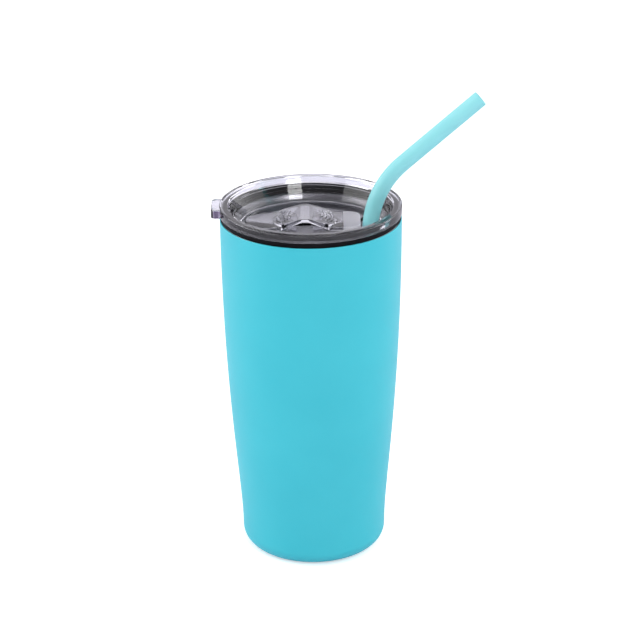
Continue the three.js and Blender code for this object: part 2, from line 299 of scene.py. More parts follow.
@dataclass(frozen=True)
class PowderCoat(Finish):
    """Satin powder coat with a fine orange-peel skin."""

    colour: Colour = rgb(0.036, 0.512, 0.592)
    deeper: Colour = rgb(0.028, 0.482, 0.565)
    fleck_colour: Colour = rgb(0.12, 0.62, 0.72)
    roughness: float = 0.4
    peel_scale: float = 1500.0
    peel_depth: float = 0.01 * MM
    cloud_scale: float = 28.0
    fleck_scale: float = 5200.0
    fleck_limit: float = 0.68
    fleck_strength: float = 0.15

    def dress(self, kit: ShaderKit, shader: bpy.types.Node) -> None:
        """Peel, a faint cloudiness of colour, fine flecks, and a roughness that varies."""
        place = kit.place()
        peel = kit.noise(place, self.peel_scale, 3.0)
        cloud = kit.noise(place, self.cloud_scale, 3.0)
        fleck = kit.noise(place, self.fleck_scale, 1.0).above(self.fleck_limit, 0.05)
        tint = kit.blend(cloud.above(0.5, 0.35), self.deeper, self.colour)
        kit.sets(
            shader,
            Base_Color=kit.blend(fleck * self.fleck_strength, tint, self.fleck_colour),
            Roughness=self.roughness + 0.07 * peel + 0.04 * cloud,
            Normal=kit.bump(peel, self.peel_depth),
        )


class Brushing(enum.Enum):
    """Which way the brush marks of a steel piece run."""

    AROUND = "around the wall"
    SPUN = "in circles on a disc"


@dataclass(frozen=True)
class BrushedSteel(Finish):
    """Stainless steel with fine brush marks."""

    brushing: Brushing = Brushing.AROUND
    colour: Colour = rgb(0.62, 0.61, 0.62)
    dark: Colour = rgb(0.40, 0.39, 0.41)
    line_scale: float = 3400.0
    line_stretch: float = 25.0
    band_scale: float = 420.0
    band_stretch: float = 5.0
    line_depth: float = 0.012 * MM

    def dress(self, kit: ShaderKit, shader: bpy.types.Node) -> None:
        """Brush marks as noise drawn out along the brushing, in fine and broad bands."""
        x, y, z = kit.split(kit.place())
        radius = (x * x + y * y).apply("SQRT")
        across = z if self.brushing is Brushing.AROUND else radius
        lines = kit.join(x * self.line_stretch, y * self.line_stretch, across * self.line_scale)
        bands = kit.join(x * self.band_stretch, y * self.band_stretch, across * self.band_scale)
        marks = kit.noise(lines, 1.0, 4.0) * 0.6 + kit.noise(bands, 1.0, 2.0) * 0.4
        kit.sets(
            shader,
            Base_Color=kit.blend(marks.above(0.5, 0.25), self.dark, self.colour),
            Roughness=0.2 + 0.25 * marks,
            Normal=kit.bump(marks, self.line_depth),
            Metallic=1.0,
        )


@dataclass(frozen=True)
class ClearPlastic(Finish):
    """Clear polished moulding with faint flow ripples and handling smudges."""

    tint: Colour = rgb(0.90, 0.90, 0.94)
    gloss: float = 0.015
    smudging: float = 0.05
    smudge_scale: float = 160.0
    ripple_depth: float = 0.02 * MM
    ripple_scale: float = 90.0
    refraction: float = 1.57
    lamp_share: float = 0.85
    frost_from: float = 1.0
    frost: float = 0.0
    frost_edge: float = 0.4 * MM

    def dress(self, kit: ShaderKit, shader: bpy.types.Node) -> None:
        """Refracting plastic that lets most of the lamps' light through to what it covers."""
        place = kit.place()
        x, _, _ = kit.split(place)
        ripple = kit.noise(place, self.ripple_scale, 2.0)
        smudge = kit.noise(place, self.smudge_scale, 3.0).above(0.6, 0.12)
        frosted = x.above(self.frost_from, self.frost_edge) * self.frost
        kit.sets(
            shader,
            Base_Color=self.tint,
            Roughness=self.gloss + self.smudging * smudge + frosted,
            Normal=kit.bump(ripple, self.ripple_depth),
            Transmission_Weight=1.0,
            IOR=self.refraction,
        )
        lamps = kit.node("ShaderNodeLightPath").outputs["Is Shadow Ray"]
        lamp_tint = rgb(*(self.lamp_share * part for part in self.tint[:3]))
        through = kit.node("ShaderNodeBsdfTransparent", Color=lamp_tint)
        kit.shows_either(lamps, shader, through)


@dataclass(frozen=True)
class Silicone(Finish):
    """Soft moulded silicone."""

    colour: Colour = rgb(0.265, 0.675, 0.7)
    shade: Colour = rgb(0.235, 0.645, 0.675)
    dust_colour: Colour = rgb(0.7, 0.72, 0.72)
    roughness: float = 0.4
    sheen_level: float = 0.5
    softness: float = 0.0
    glow_depth: float = 1.5 * MM
    glow_spread: tuple[float, float, float] = (0.6, 1.0, 1.0)
    grain_scale: float = 2400.0
    grain_depth: float = 0.008 * MM
    cloud_scale: float = 60.0
    dust_scale: float = 3100.0
    dust_limit: float = 0.76
    dust_strength: float = 0.2

    def dress(self, kit: ShaderKit, shader: bpy.types.Node) -> None:
        """Matt skin with a faint mould grain, cloudiness and specks of dust."""
        place = kit.place()
        grain = kit.noise(place, self.grain_scale, 2.0)
        cloud = kit.noise(place, self.cloud_scale, 2.0)
        dust = kit.noise(place, self.dust_scale, 1.0).above(self.dust_limit, 0.03)
        tint = kit.blend(cloud.above(0.5, 0.3), self.shade, self.colour)
        kit.sets(
            shader,
            Base_Color=kit.blend(dust * self.dust_strength, tint, self.dust_colour),
            Roughness=self.roughness + 0.1 * grain,
            Normal=kit.bump(grain, self.grain_depth),
            Specular_IOR_Level=self.sheen_level,
            Subsurface_Weight=self.softness,
            Subsurface_Radius=self.glow_spread,
            Subsurface_Scale=self.glow_depth,
        )


@dataclass(frozen=True)
class CopperFoil(Finish):
    """Thin copper foil with the small creases of wrapping."""

    colour: Colour = rgb(0.80, 0.42, 0.26)
    heated: Colour = rgb(0.62, 0.27, 0.17)
    crease_scale: float = 220.0
    crease_depth: float = 0.12 * MM
    heat_scale: float = 40.0

    def dress(self, kit: ShaderKit, shader: bpy.types.Node) -> None:
        """Creases as folded noise, with heat tint between them."""
        place = kit.place()
        crease = (kit.noise(place, self.crease_scale, 4.0) - 0.5).apply("ABSOLUTE") * 2.0
        heat = kit.noise(place, self.heat_scale, 3.0).above(0.55, 0.2)
        kit.sets(
            shader,
            Base_Color=kit.blend(heat, self.colour, self.heated),
            Roughness=0.24 + 0.2 * crease,
            Normal=kit.bump(crease, self.crease_depth),
            Metallic=1.0,
        )


@dataclass(frozen=True)
class GrainyMetal(Finish):
    """Fused or pressed grey metal with a grainy skin."""

    colour: Colour = rgb(0.3, 0.31, 0.33)
    dark: Colour = rgb(0.05, 0.05, 0.055)
    grain_scale: float = 1400.0
    grain_depth: float = 0.06 * MM
    metal: float = 0.5

    def dress(self, kit: ShaderKit, shader: bpy.types.Node) -> None:
        """Grain in colour, roughness and height."""
        grain = kit.noise(kit.place(), self.grain_scale, 4.0)
        kit.sets(
            shader,
            Base_Color=kit.blend(grain, self.dark, self.colour),
            Roughness=0.45 + 0.4 * grain,
            Normal=kit.bump(grain, self.grain_depth),
            Metallic=self.metal,
        )


@dataclass(frozen=True)
class PaleFloor(Finish):
    """Seamless pale studio floor."""

    colour: Colour = rgb(0.9, 0.9, 0.9)
    mottle_colour: Colour = rgb(0.8, 0.8, 0.8)
    mottle_scale: float = 6.0
    mottle: float = 0.02
    bounce_colour: Colour = rgb(0.82, 0.81, 0.88)
    glow: float = 0.45

    def dress(self, kit: ShaderKit, shader: bpy.types.Node) -> None:
        """Matt card, lit up where it is seen and greyer where it only throws light back."""
        mottled = kit.noise(kit.place(), self.mottle_scale, 2.0) * self.mottle
        kit.sets(
            shader,
            Base_Color=kit.blend(mottled, self.colour, self.mottle_colour),
            Roughness=1.0,
            Specular_IOR_Level=0.0,
            Emission_Color=rgb(1.0, 1.0, 1.0),
            Emission_Strength=self.glow,
        )
        bounce = kit.node("ShaderNodeBsdfDiffuse", Color=self.bounce_colour)
        seen = kit.node("ShaderNodeLightPath").outputs["Is Camera Ray"]
        kit.shows_either(seen, bounce, shader)


POWDER_COAT = PowderCoat("teal_powder_coat")
WALL_STEEL = BrushedSteel("brushed_wall_steel")
DISC_STEEL = BrushedSteel("spun_disc_steel", Brushing.SPUN, line_scale=5200.0)
CLEAR_LID = ClearPlastic("clear_lid_plastic")
# Painted shade on the thumb tab: its near-upright sides get this dark violet tint, which makes them
# darker than the tab's top though the whole tab is the same clear plastic.
TAB_SIDE_PAINTED_SHADE = ClearPlastic("tab_side_painted_shade", rgb(0.12, 0.09, 0.17), lamp_share=0.5)
CLEAR_SLIDER = ClearPlastic("clear_slider_plastic", frost_from=15.5 * MM, frost=0.45)
BLACK_SILICONE = Silicone(
    "black_seal_silicone",
    rgb(0.006, 0.005, 0.006),
    rgb(0.004, 0.004, 0.005),
    rgb(0.06, 0.06, 0.06),
    roughness=0.5,
    sheen_level=0.06,
)
TEAL_SILICONE = Silicone("teal_straw_silicone", softness=0.15)
COPPER = CopperFoil("copper_foil_skin")
SOLDER = GrainyMetal("port_solder")
SINTER = GrainyMetal("getter_sinter", rgb(0.13, 0.13, 0.14), grain_scale=2600.0)
PALE_FLOOR = PaleFloor("pale_floor_card")


# ---- making meshes --------------------------------------------------------------------------


def filleted(corners: Sequence[Corner], closed: bool = True, steps: int = 4) -> list[Point2]:
    """Rounds the corners of an outline given in millimetres.

    Args:
        corners: (x, y, fillet radius) of each corner, the radius 0 for a sharp one.
        closed: whether the last corner joins the first. An open outline keeps its ends.
        steps: faces in each round corner.

    Returns:
        The outline's points, in metres.
    """
    points: list[Vector] = []
    count = len(corners)
    for i, (x, y, radius) in enumerate(corners):
        here = Vector((x, y))
        if radius <= 0 or (not closed and i in (0, count - 1)):
            points.append(here)
            continue
        back = Vector(corners[i - 1][:2]) - here
        ahead = Vector(corners[(i + 1) % count][:2]) - here
        half = back.angle(ahead) / 2
        radius = min(radius, 0.45 * min(back.length, ahead.length) * math.tan(half))
        start = back.normalized() * (radius / math.tan(half))
        finish = ahead.normalized() * (radius / math.tan(half))
        centre = (start + finish).normalized() * (radius / math.sin(half))
        first = start - centre
        last = finish - centre
        for step in range(steps + 1):
            share = step / steps
            arm = (first * (1 - share) + last * share).normalized() * radius
            points.append(here + centre + arm)
    return [(p.x * MM, p.y * MM) for p in points]


def new_piece(name: str, points: Sequence, edges: Sequence, faces: Sequence) -> bpy.types.Object:
    """A mesh object in the scene, at the origin."""
    mesh = bpy.data.meshes.new(name)
    mesh.from_pydata([tuple(p) for p in points], edges, faces)
    piece = bpy.data.objects.new(name, mesh)
    bpy.context.scene.collection.objects.link(piece)
    return piece


def made_plain(piece: bpy.types.Object) -> None:
    """Turns a piece's modifiers into its plain mesh."""
    graph = bpy.context.evaluated_depsgraph_get()
    plain = bpy.data.meshes.new_from_object(piece.evaluated_get(graph))
    piece.modifiers.clear()
    piece.data = plain


@contextlib.contextmanager
def edited(piece: bpy.types.Object) -> Iterator[bmesh.types.BMesh]:
    """A piece's mesh open for editing, put back at the end."""
    draft = bmesh.new()
    draft.from_mesh(piece.data)
    yield draft
    draft.to_mesh(piece.data)
    draft.free()


def smoothed(piece: bpy.types.Object, sharp_degrees: float = 35.0) -> None:
    """Shades a piece smooth apart from edges sharper than an angle."""
    piece.data.shade_smooth()
    piece.data.set_sharp_from_angle(angle=math.radians(sharp_degrees))


def faced_outwards(piece: bpy.types.Object) -> None:
    """Turns the faces of a closed piece outwards."""
    with edited(piece) as draft:
        if draft.calc_volume(signed=True) < 0:
            bmesh.ops.reverse_faces(draft, faces=draft.faces)


def turned(name: str, outline: Sequence[Point2], finish: Finish, sides: int = SIDES) -> bpy.types.Object:
    """Turned solid about Z, made by a node tree that carries each outline point round the axis.

    Args:
        name: the new object's name.
        outline: (radius, height) points. One that starts off the axis is closed on itself.
        finish: what it is made of.
        sides: faces round the axis.

    Returns:
        The new object.
    """
    rows = list(outline)
    if rows[0][0] > ON_AXIS:
        rows.append(rows[0])
    piece = new_piece(name, [(radius, 0, height) for radius, height in rows], [], [])
    tree = ShapeTree("turned outline", {"Rows": len(rows), "Sides": sides})
    column_count = tree.size("Sides") + 1
    grid = tree.node("GeometryNodeMeshGrid", Vertices_X=tree.size("Rows"), Vertices_Y=column_count)
    row = (tree.index() / column_count + NUDGE).apply("FLOOR")
    turn = (tree.index() % column_count) * (2 * math.pi) / tree.size("Sides")
    settings = {"data_type": "FLOAT_VECTOR", "domain": "POINT"}
    here = tree.node(
        "GeometryNodeSampleIndex",
        settings,
        Geometry=tree.inputs.outputs["Geometry"],
        Value=tree.node("GeometryNodeInputPosition").outputs[0],
        Index=row,
    )
    radius, _, height = tree.split(here.outputs[0])
    place = tree.join(radius * turn.apply("COSINE"), radius * turn.apply("SINE"), height)
    moved = tree.node("GeometryNodeSetPosition", Geometry=grid.outputs[0], Position=place)
    merged = tree.node("GeometryNodeMergeByDistance", Geometry=moved.outputs[0], Distance=WELD)
    tree.ends_in(merged.outputs[0])
    tree.run(piece, finish.material())
    faced_outwards(piece)
    smoothed(piece)
    return piece


def stacked(name: str, loops: Sequence[Sequence[Sequence[float]]], finish: Finish) -> bpy.types.Object:
    """Closed solid of loops of equal count, joined one to the next and capped at both ends."""
    count = len(loops[0])
    points = [p for loop in loops for p in loop]
    faces: list[Sequence[int]] = [list(range(count))]
    for level in range(len(loops) - 1):
        for i in range(count):
            j = (i + 1) % count
            low = level * count
            faces.append((low + i, low + j, low + count + j, low + count + i))
    faces.append(list(range((len(loops) - 1) * count, len(loops) * count)))
    piece = new_piece(name, points, [], faces)
    with edited(piece) as draft:
        bmesh.ops.recalc_face_normals(draft, faces=draft.faces)
    faced_outwards(piece)
    piece.data.materials.append(finish.material())
    smoothed(piece)
    return piece


@dataclass(frozen=True)
class RoundPlate:
    """A plate with round corners and eased edges along X, in millimetres."""

    start: float
    end: float
    width: float
    corner: float
    bottom: float
    top: float
    ease: float = 0.0
    flare: bool = False
    nose: float = 0.0
    corner_steps: int = 12
    ease_steps: int = 4

    def loop(self, inset: float, height: float) -> list[tuple[float, float, float]]:
        """One outline of the plate, moved in by an inset. A nose rounds the start more."""
        points = []
        for quarter, (sign_x, sign_y) in enumerate(((1, 1), (-1, 1), (-1, -1), (1, -1))):
            given = self.corner if sign_x > 0 else max(self.nose, self.corner)
            corner = max(given - inset, 0.01)
            side = max(self.width / 2 - inset - corner, 0.01)
            middle_x = self.end - inset - corner if sign_x > 0 else self.start + inset + corner
            for step in range(self.corner_steps + 1):
                angle = math.pi / 2 * (quarter + step / self.corner_steps)
                px = middle_x + corner * math.cos(angle)
                py = sign_y * side + corner * math.sin(angle)
                points.append((px * MM, py * MM, height * MM))
        return points

    def build(self, name: str, finish: Finish) -> bpy.types.Object:
        """The plate as a solid. With flare set its edges open outwards, to cut an eased hole."""
        if self.ease <= 0:
            levels = [(0.0, self.bottom), (0.0, self.top)]
        else:
            quarter = [math.pi / 2 * i / self.ease_steps for i in range(self.ease_steps + 1)]
            inward = [self.ease * (1 - math.sin(a)) for a in quarter]
            rise = [self.ease * (1 - math.cos(a)) for a in quarter]
            sign = -1 if self.flare else 1
            levels = [(sign * i, self.bottom + r) for i, r in zip(inward, rise)]
            levels += [(sign * i, self.top - r) for i, r in zip(inward[::-1], rise[::-1])]
        return stacked(name, [self.loop(inset, height) for inset, height in levels], finish)


def bar(
    name: str, outline: Sequence[Point2], start: float, end: float, along: str, finish: Finish
) -> bpy.types.Object:
    """An outline carried straight along X or Y.

    Args:
        name: the new object's name.
        outline: points across the bar, as (y, z) for one along X or (x, z) for one along Y.
        start: where it begins, in metres.
        end: where it ends.
        along: "x" or "y".
        finish: what it is made of.

    Returns:
        The new object.
    """
    if along == "x":
        loops = [[(at, p, q) for p, q in outline] for at in (start, end)]
    else:
        loops = [[(p, at, q) for p, q in outline] for at in (start, end)]
    return stacked(name, loops, finish)


def combined(base: bpy.types.Object, other: bpy.types.Object, operation: str) -> None:
    """Unites a piece with another solid, cuts it out, or keeps what they share."""
    step = base.modifiers.new("combine", "BOOLEAN")
    step.operation = operation
    step.object = other
    step.solver = "EXACT"
    made_plain(base)
    bpy.data.objects.remove(other)


def tidied(piece: bpy.types.Object, finish: Finish, distance: float = 1e-6) -> None:
    """Merges doubled points after a cut and shades the piece again."""
    with edited(piece) as draft:
        bmesh.ops.remove_doubles(draft, verts=draft.verts, dist=distance)
        bmesh.ops.dissolve_degenerate(draft, edges=draft.edges, dist=distance)
    piece.data.materials.clear()
    piece.data.materials.append(finish.material())
    smoothed(piece)


def placed(piece: bpy.types.Object, body: str, slot: str, *nodes: str) -> None:
    """Puts a finished piece under its body and hides the CAD nodes it stands for."""
    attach(piece, body)
    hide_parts(*nodes)
    log.info("%s on %s for %s: %d faces", piece.name, body, nodes, len(piece.data.polygons))


def spread(start: float, end: float, count: int) -> list[float]:
    """Even steps between two ends, both included."""
    return [start + (end - start) * i / count for i in range(count + 1)]


# ---- sub-assemblies, sizes in millimetres ---------------------------------------------------


@dataclass(frozen=True)
class RolledRing:
    """A shallow ring rolled into a disc, in millimetres."""

    half: float
    floor_half: float
    depth: float
    edge_round: float
    floor_round: float

    def corners(self, radius: float, level: float) -> list[Corner]:
        """Outline corners across the ring, outwards from the axis."""
        return [
            (radius - self.half, level, self.edge_round),
            (radius - self.floor_half, level + self.depth, self.floor_round),
            (radius + self.floor_half, level + self.depth, self.floor_round),
            (radius + self.half, level, self.edge_round),
        ]


@dataclass
class Cup:
    """The double-walled cup: shell, liner, liner floor, base cover and what they hide."""

    height: float = 171.0
    base_radius: float = 35.56
    mouth_radius: float = 43.59
    corner_radius: float = 8.0
    lower_pull: float = 25.0
    upper_pull: float = 94.0
    shell_wall: float = 0.6
    liner_wall: float = 0.5
    vacuum: float = 1.6
    mouth_vacuum: float = 0.3
    mouth_depth: float = 10.0
    flare_depth: float = 10.0
    floor_height: float = 8.4
    liner_corner: float = 4.0
    liner_joint: float = 13.0
    base_opening: float = 26.5
    rim_round: float = 0.28
    rim_band: float = 1.0
    weld_band: float = 1.5
    painted_share: float = 0.75
    lip_band: float = 1.4
    lip_drop: float = 0.2
    lip_round: float = 0.2
    weld_gap: float = 0.05
    edge_round: float = 0.1
    cover_radius: float = 26.2
    cover_thickness: float = 0.8
    cover_round: float = 0.3
    cover_ring_radius: float = 19.2
    cover_ring: RolledRing = RolledRing(0.9, 0.5, 0.3, 0.2, 0.15)
    floor_ring_share: float = 0.72
    floor_ring: RolledRing = RolledRing(1.0, 0.5, -0.15, 0.4, 0.2)
    stations: int = 56
    corner_steps: int = 14
    halvings: int = 40

    def side_radius(self, height: float) -> float:
        """Outer radius at a height above the bottom corner, found by halving along its curve."""
        low, high = 0.0, 1.0
        for _ in range(self.halvings):
            t = (low + high) / 2
            if self.height_along(t) < height:
                low = t
            else:
                high = t
        rest = 1 - low
        near_base = rest**3 + 3 * rest * rest * low
        return self.base_radius * near_base + self.mouth_radius * (1 - near_base)

    def height_along(self, t: float) -> float:
        """Height on the side's curve at a share of it."""
        rest = 1 - t
        foot, top = self.corner_radius, self.height
        first, second = foot + self.lower_pull, top - self.upper_pull
        return rest**3 * foot + 3 * rest * rest * t * first + 3 * rest * t * t * second + t**3 * top

    def liner_outer(self, height: float) -> float:
        """Outer radius of the liner: a vacuum's width inside the shell, less at the mouth."""
        flare_top = self.height - self.mouth_depth
        share = (height - flare_top + self.flare_depth) / self.flare_depth
        share = min(max(share, 0.0), 1.0)
        eased = share * share * (3 - 2 * share)
        gap = self.vacuum + (self.mouth_vacuum - self.vacuum) * eased
        return self.side_radius(height) - self.shell_wall - gap

    def liner_inner(self, height: float) -> float:
        """Inner radius of the liner."""
        return self.liner_outer(height) - self.liner_wall

    @staticmethod
    def wall(radius_at: Callable[[float], float], heights: Sequence[float]) -> list[Corner]:
        """Outline points up a wall."""
        return [(radius_at(height), height, 0.0) for height in heights]

    def corner(self, centre: Point2, radius: float, start: float, end: float) -> list[Corner]:
        """Outline points of a bottom corner, between two angles in degrees."""
        angles = [math.radians(a) for a in spread(start, end, self.corner_steps)]
        return [(centre[0] + radius * math.cos(a), centre[1] + radius * math.sin(a), 0.0) for a in angles]

    def shell(self) -> bpy.types.Object:
        """Painted outer shell, bare steel inside and on the lip of its rim."""
        centre = (self.base_radius - self.corner_radius, self.corner_radius)
        heights = spread(self.corner_radius, self.height - self.rim_band, self.stations)[1:]
        inside = [h for h in heights if h < self.height - self.weld_band]
        inner_wall = self.wall(lambda h: self.side_radius(h) - self.shell_wall, inside)
        outline = [
            (self.base_opening, 0.0, self.edge_round),
            *self.corner(centre, self.corner_radius, -90, 0),
            *self.wall(self.side_radius, heights),
            (self.mouth_radius, self.height, self.rim_round),
            (self.mouth_radius - self.shell_wall, self.height, self.rim_round),
            *reversed(inner_wall),
            *self.corner(centre, self.corner_radius - self.shell_wall, 0, -90),
            (self.base_opening, self.shell_wall, self.edge_round),
        ]
        piece = turned("painted_shell", filleted(outline), POWDER_COAT)
        piece.data.materials.append(WALL_STEEL.material())
        for face in piece.data.polygons:
            radius = math.hypot(face.center.x, face.center.y) / MM
            height = face.center.z / MM
            if height > self.corner_radius:
                depth = self.side_radius(height) - radius
            else:
                reach = Vector((max(radius - centre[0], 0.0), height - centre[1])).length
                depth = self.corner_radius - reach
            face.material_index = int(depth > self.painted_share * self.shell_wall)
        return piece

    def liner(self) -> bpy.types.Object:
        """Steel liner with a rolled lip."""
        bottom = self.liner_joint + self.weld_gap
        heights = spread(bottom, self.height - self.lip_band, 2 * self.stations)
        top = self.height - self.lip_drop
        outline = [
            *self.wall(self.liner_outer, heights),
            (self.liner_outer(top), top, self.lip_round),
            (self.liner_inner(top), top, self.lip_round),
            *reversed(self.wall(self.liner_inner, heights)),
        ]
        return turned("steel_liner", filleted(outline), WALL_STEEL)

    def liner_floor(self) -> bpy.types.Object:
        """Pressed floor of the liner with its round corner and a shallow spun ring."""
        reach = self.liner_inner(self.liner_joint) - self.liner_corner
        centre = (reach, self.floor_height + self.liner_corner)
        ring = self.floor_ring.corners(self.floor_ring_share * reach, self.floor_height)
        outline = [
            (0.0, self.floor_height - self.liner_wall, 0.0),
            *self.corner(centre, self.liner_corner + self.liner_wall, -90, 0),
            (self.liner_outer(self.liner_joint), self.liner_joint, self.edge_round),
            (self.liner_inner(self.liner_joint), self.liner_joint, self.edge_round),
            *self.corner(centre, self.liner_corner, 0, -90),
            *reversed(ring),
            (0.0, self.floor_height, 0.0),
        ]
        return turned("liner_floor_pressing", filleted(outline, closed=False), DISC_STEEL)

    def base_cover(self) -> bpy.types.Object:
        """Disc under the cup with a rolled groove."""
        outline = [
            (0.0, 0.0, 0.0),
            *self.cover_ring.corners(self.cover_ring_radius, 0.0),
            (self.cover_radius, 0.0, self.cover_round),
            (self.cover_radius, self.cover_thickness, self.edge_round),
            (0.0, self.cover_thickness, 0.0),
        ]
        return turned("base_cover_disc", filleted(outline, closed=False), DISC_STEEL)

    def build(self) -> None:
        """Makes the visible pieces and dresses the hidden ones."""
        placed(self.shell(), "tumbler", "powder_coat", "outer_shell")
        placed(self.liner(), "tumbler", "stainless_steel", "inner_liner")
        placed(self.liner_floor(), "tumbler", "stainless_steel", "liner_floor")
        placed(self.base_cover(), "tumbler", "stainless_steel", "base_cover")
        hidden = {
            "outer_base": DISC_STEEL,
            "solder_bead": SOLDER,
            "copper_foil": COPPER,
            "getter_holder": DISC_STEEL,
            "getter": SINTER,
        }
        for name, finish in hidden.items():
            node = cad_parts[name]
            node.data.materials.clear()
            node.data.materials.append(finish.material())
            log.info("%s keeps its CAD shape, dressed as %s", name, finish.name)


@dataclass
class Seal:
    """Black ring pressed up against the lid's rim, with a lip that grips the liner."""

    inner: float = 39.6
    skirt: float = 41.3
    lip: float = 41.7
    bottom: float = 169.4
    lip_rise: float = 0.5
    radius: float = 43.0
    ring_bottom: float = 171.05
    ring_top: float = 173.35
    edge: float = 0.35
    skirt_round: float = 0.15
    lip_round: float = 0.2
    pressed_radius: float = 42.0
    pressed_slope: float = 0.2
    pressed_top: float = 173.52
    pressed_round: float = 0.1

    def build(self) -> None:
        """Makes the ring."""
        outline = [
            (self.inner, self.bottom, self.skirt_round),
            (self.skirt, self.bottom, self.skirt_round),
            (self.lip, self.bottom + self.lip_rise, self.lip_round),
            (self.skirt, self.bottom + 2 * self.lip_rise, self.skirt_round),
            (self.skirt, self.ring_bottom, self.skirt_round),
            (self.radius, self.ring_bottom, self.edge),
            (self.radius, self.ring_top, self.edge),
            (self.pressed_radius + self.pressed_slope, self.ring_top, 0.0),
            (self.pressed_radius, self.pressed_top, 0.0),
            (self.inner, self.pressed_top, self.pressed_round),
        ]
        ring = turned("lid_seal_ring", filleted(outline), BLACK_SILICONE)
        placed(ring, "seal", "black_silicone", "lid_seal")


@dataclass
class Lid:
    """Clear lid: a solid rim, a stepped dish, a thumb tab and three openings in its floor."""

    underside: float = 173.5
    top: float = 178.0
    rim_radius: float = 43.7
    bead_width: float = 1.3
    bead_height: float = 0.4
    ring_inner: float = 39.9
    plug_radius: float = 39.4
    plug_bottom: float = 169.0
    floor_top: float = 167.5
    floor_thickness: float = 2.0
    floor_radius: float = 33.7
    floor_edge: float = 35.5
    underside_round: float = 0.6
    plug_round: float = 0.5
    rim_foot_round: float = 0.4
    rim_round: float = 0.55
    bead_slope: float = 0.3
    bead_round: float = 0.3
    bead_foot_round: float = 0.2
    dish_round: float = 0.3
    dish_top: Point2 = (0.5, 0.4)
    dish_foot: Point2 = (0.6, 0.4)
    dish_foot_round: float = 0.2
    steps: int = 4
    step_width: float = 0.25
    step_rise: float = 0.12
    step_round: float = 0.12
    tab_reach: float = 47.5
    tab_width: float = 18.0
    tab_corner: float = 2.5
    tab_root: float = 2.0
    tab_drop: float = 0.4
    tab_ease: float = 0.5
    tab_side_slope: float = 0.4
    hole_x: float = 28.5
    hole_radius: float = 4.6
    hole_length: float = 20.0
    hole_ease: float = 0.45
    slot_start: float = -14.5
    slot_end: float = 14.3
    slot_width: float = 5.6
    slot_corner: float = 1.0
    vent_x: float = -32.65
    vent_radius: float = 0.85
    cut: float = 0.2

    def dish_wall(self) -> list[Corner]:
        """The dish wall as a flight of shallow rings."""
        inward, down = self.dish_top
        outward, up = self.dish_foot
        start = Vector((self.ring_inner - inward, self.top - self.bead_height - down))
        end = Vector((self.floor_radius + outward, self.floor_top + up))
        corners: list[Corner] = []
        for i in range(self.steps):
            upper = start.lerp(end, i / self.steps)
            lower = start.lerp(end, (i + 1) / self.steps)
            corners.append((upper.x, upper.y, self.step_round))
            corners.append((lower.x + self.step_width, lower.y + self.step_rise, self.step_round))
        return [*corners, (end.x, end.y, self.dish_foot_round)]

    def blank(self) -> bpy.types.Object:
        """The turned lid before its openings are cut."""
        ring_top = self.top - self.bead_height
        bead = self.rim_radius - self.bead_width
        floor_bottom = self.floor_top - self.floor_thickness
        outline = [
            (0.0, floor_bottom, 0.0),
            (self.floor_edge, floor_bottom, self.underside_round),
            (self.plug_radius, self.plug_bottom, self.plug_round),
            (self.plug_radius, self.underside, 0.0),
            (self.rim_radius, self.underside, self.rim_foot_round),
            (self.rim_radius, self.top, self.rim_round),
            (bead + self.bead_slope, self.top, self.bead_round),
            (bead, ring_top, self.bead_foot_round),
            (self.ring_inner, ring_top, self.dish_round),
            *self.dish_wall(),
            (self.floor_radius, self.floor_top, self.dish_round),
            (0.0, self.floor_top, 0.0),
        ]
        return turned("clear_lid", filleted(outline, closed=False), CLEAR_LID)

    def tab(self) -> bpy.types.Object:
        """Thumb tab on the rim."""
        root, top = self.rim_radius - self.tab_root, self.top - self.tab_drop
        plate = RoundPlate(
            -self.tab_reach, -root, self.tab_width, self.tab_corner, self.underside, top, self.tab_ease
        )
        return plate.build("tab", CLEAR_LID)

    def build(self) -> None:
        """Makes the lid and cuts its openings."""
        lid = self.blank()
        combined(lid, self.tab(), "UNION")
        low = self.floor_top - self.floor_thickness - self.cut
        high = self.floor_top + self.cut
        hole, vent = self.hole_radius, self.vent_radius
        hole_start, hole_end = self.hole_x - hole, self.hole_x + hole
        openings = (
            RoundPlate(hole_start, hole_end, self.hole_length, hole, low, high, self.hole_ease, True),
            RoundPlate(self.slot_start, self.slot_end, self.slot_width, self.slot_corner, low, high),
            RoundPlate(self.vent_x - vent, self.vent_x + vent, 2 * vent, vent, low, high),
        )
        for opening in openings:
            combined(lid, opening.build("opening", CLEAR_LID), "DIFFERENCE")
        tidied(lid, CLEAR_LID)
        # Painted shade: the tab's near-upright side faces take the dark violet tab-side material, so they
        # show darker than its top.
        lid.data.materials.append(TAB_SIDE_PAINTED_SHADE.material())
        for face in lid.data.polygons:
            on_tab = face.center.x < -(self.rim_radius + 0.5 * self.cut) * MM
            face.material_index = int(on_tab and abs(face.normal.z) < self.tab_side_slope)
        placed(lid, "lid", "clear_plastic", "lid_body")


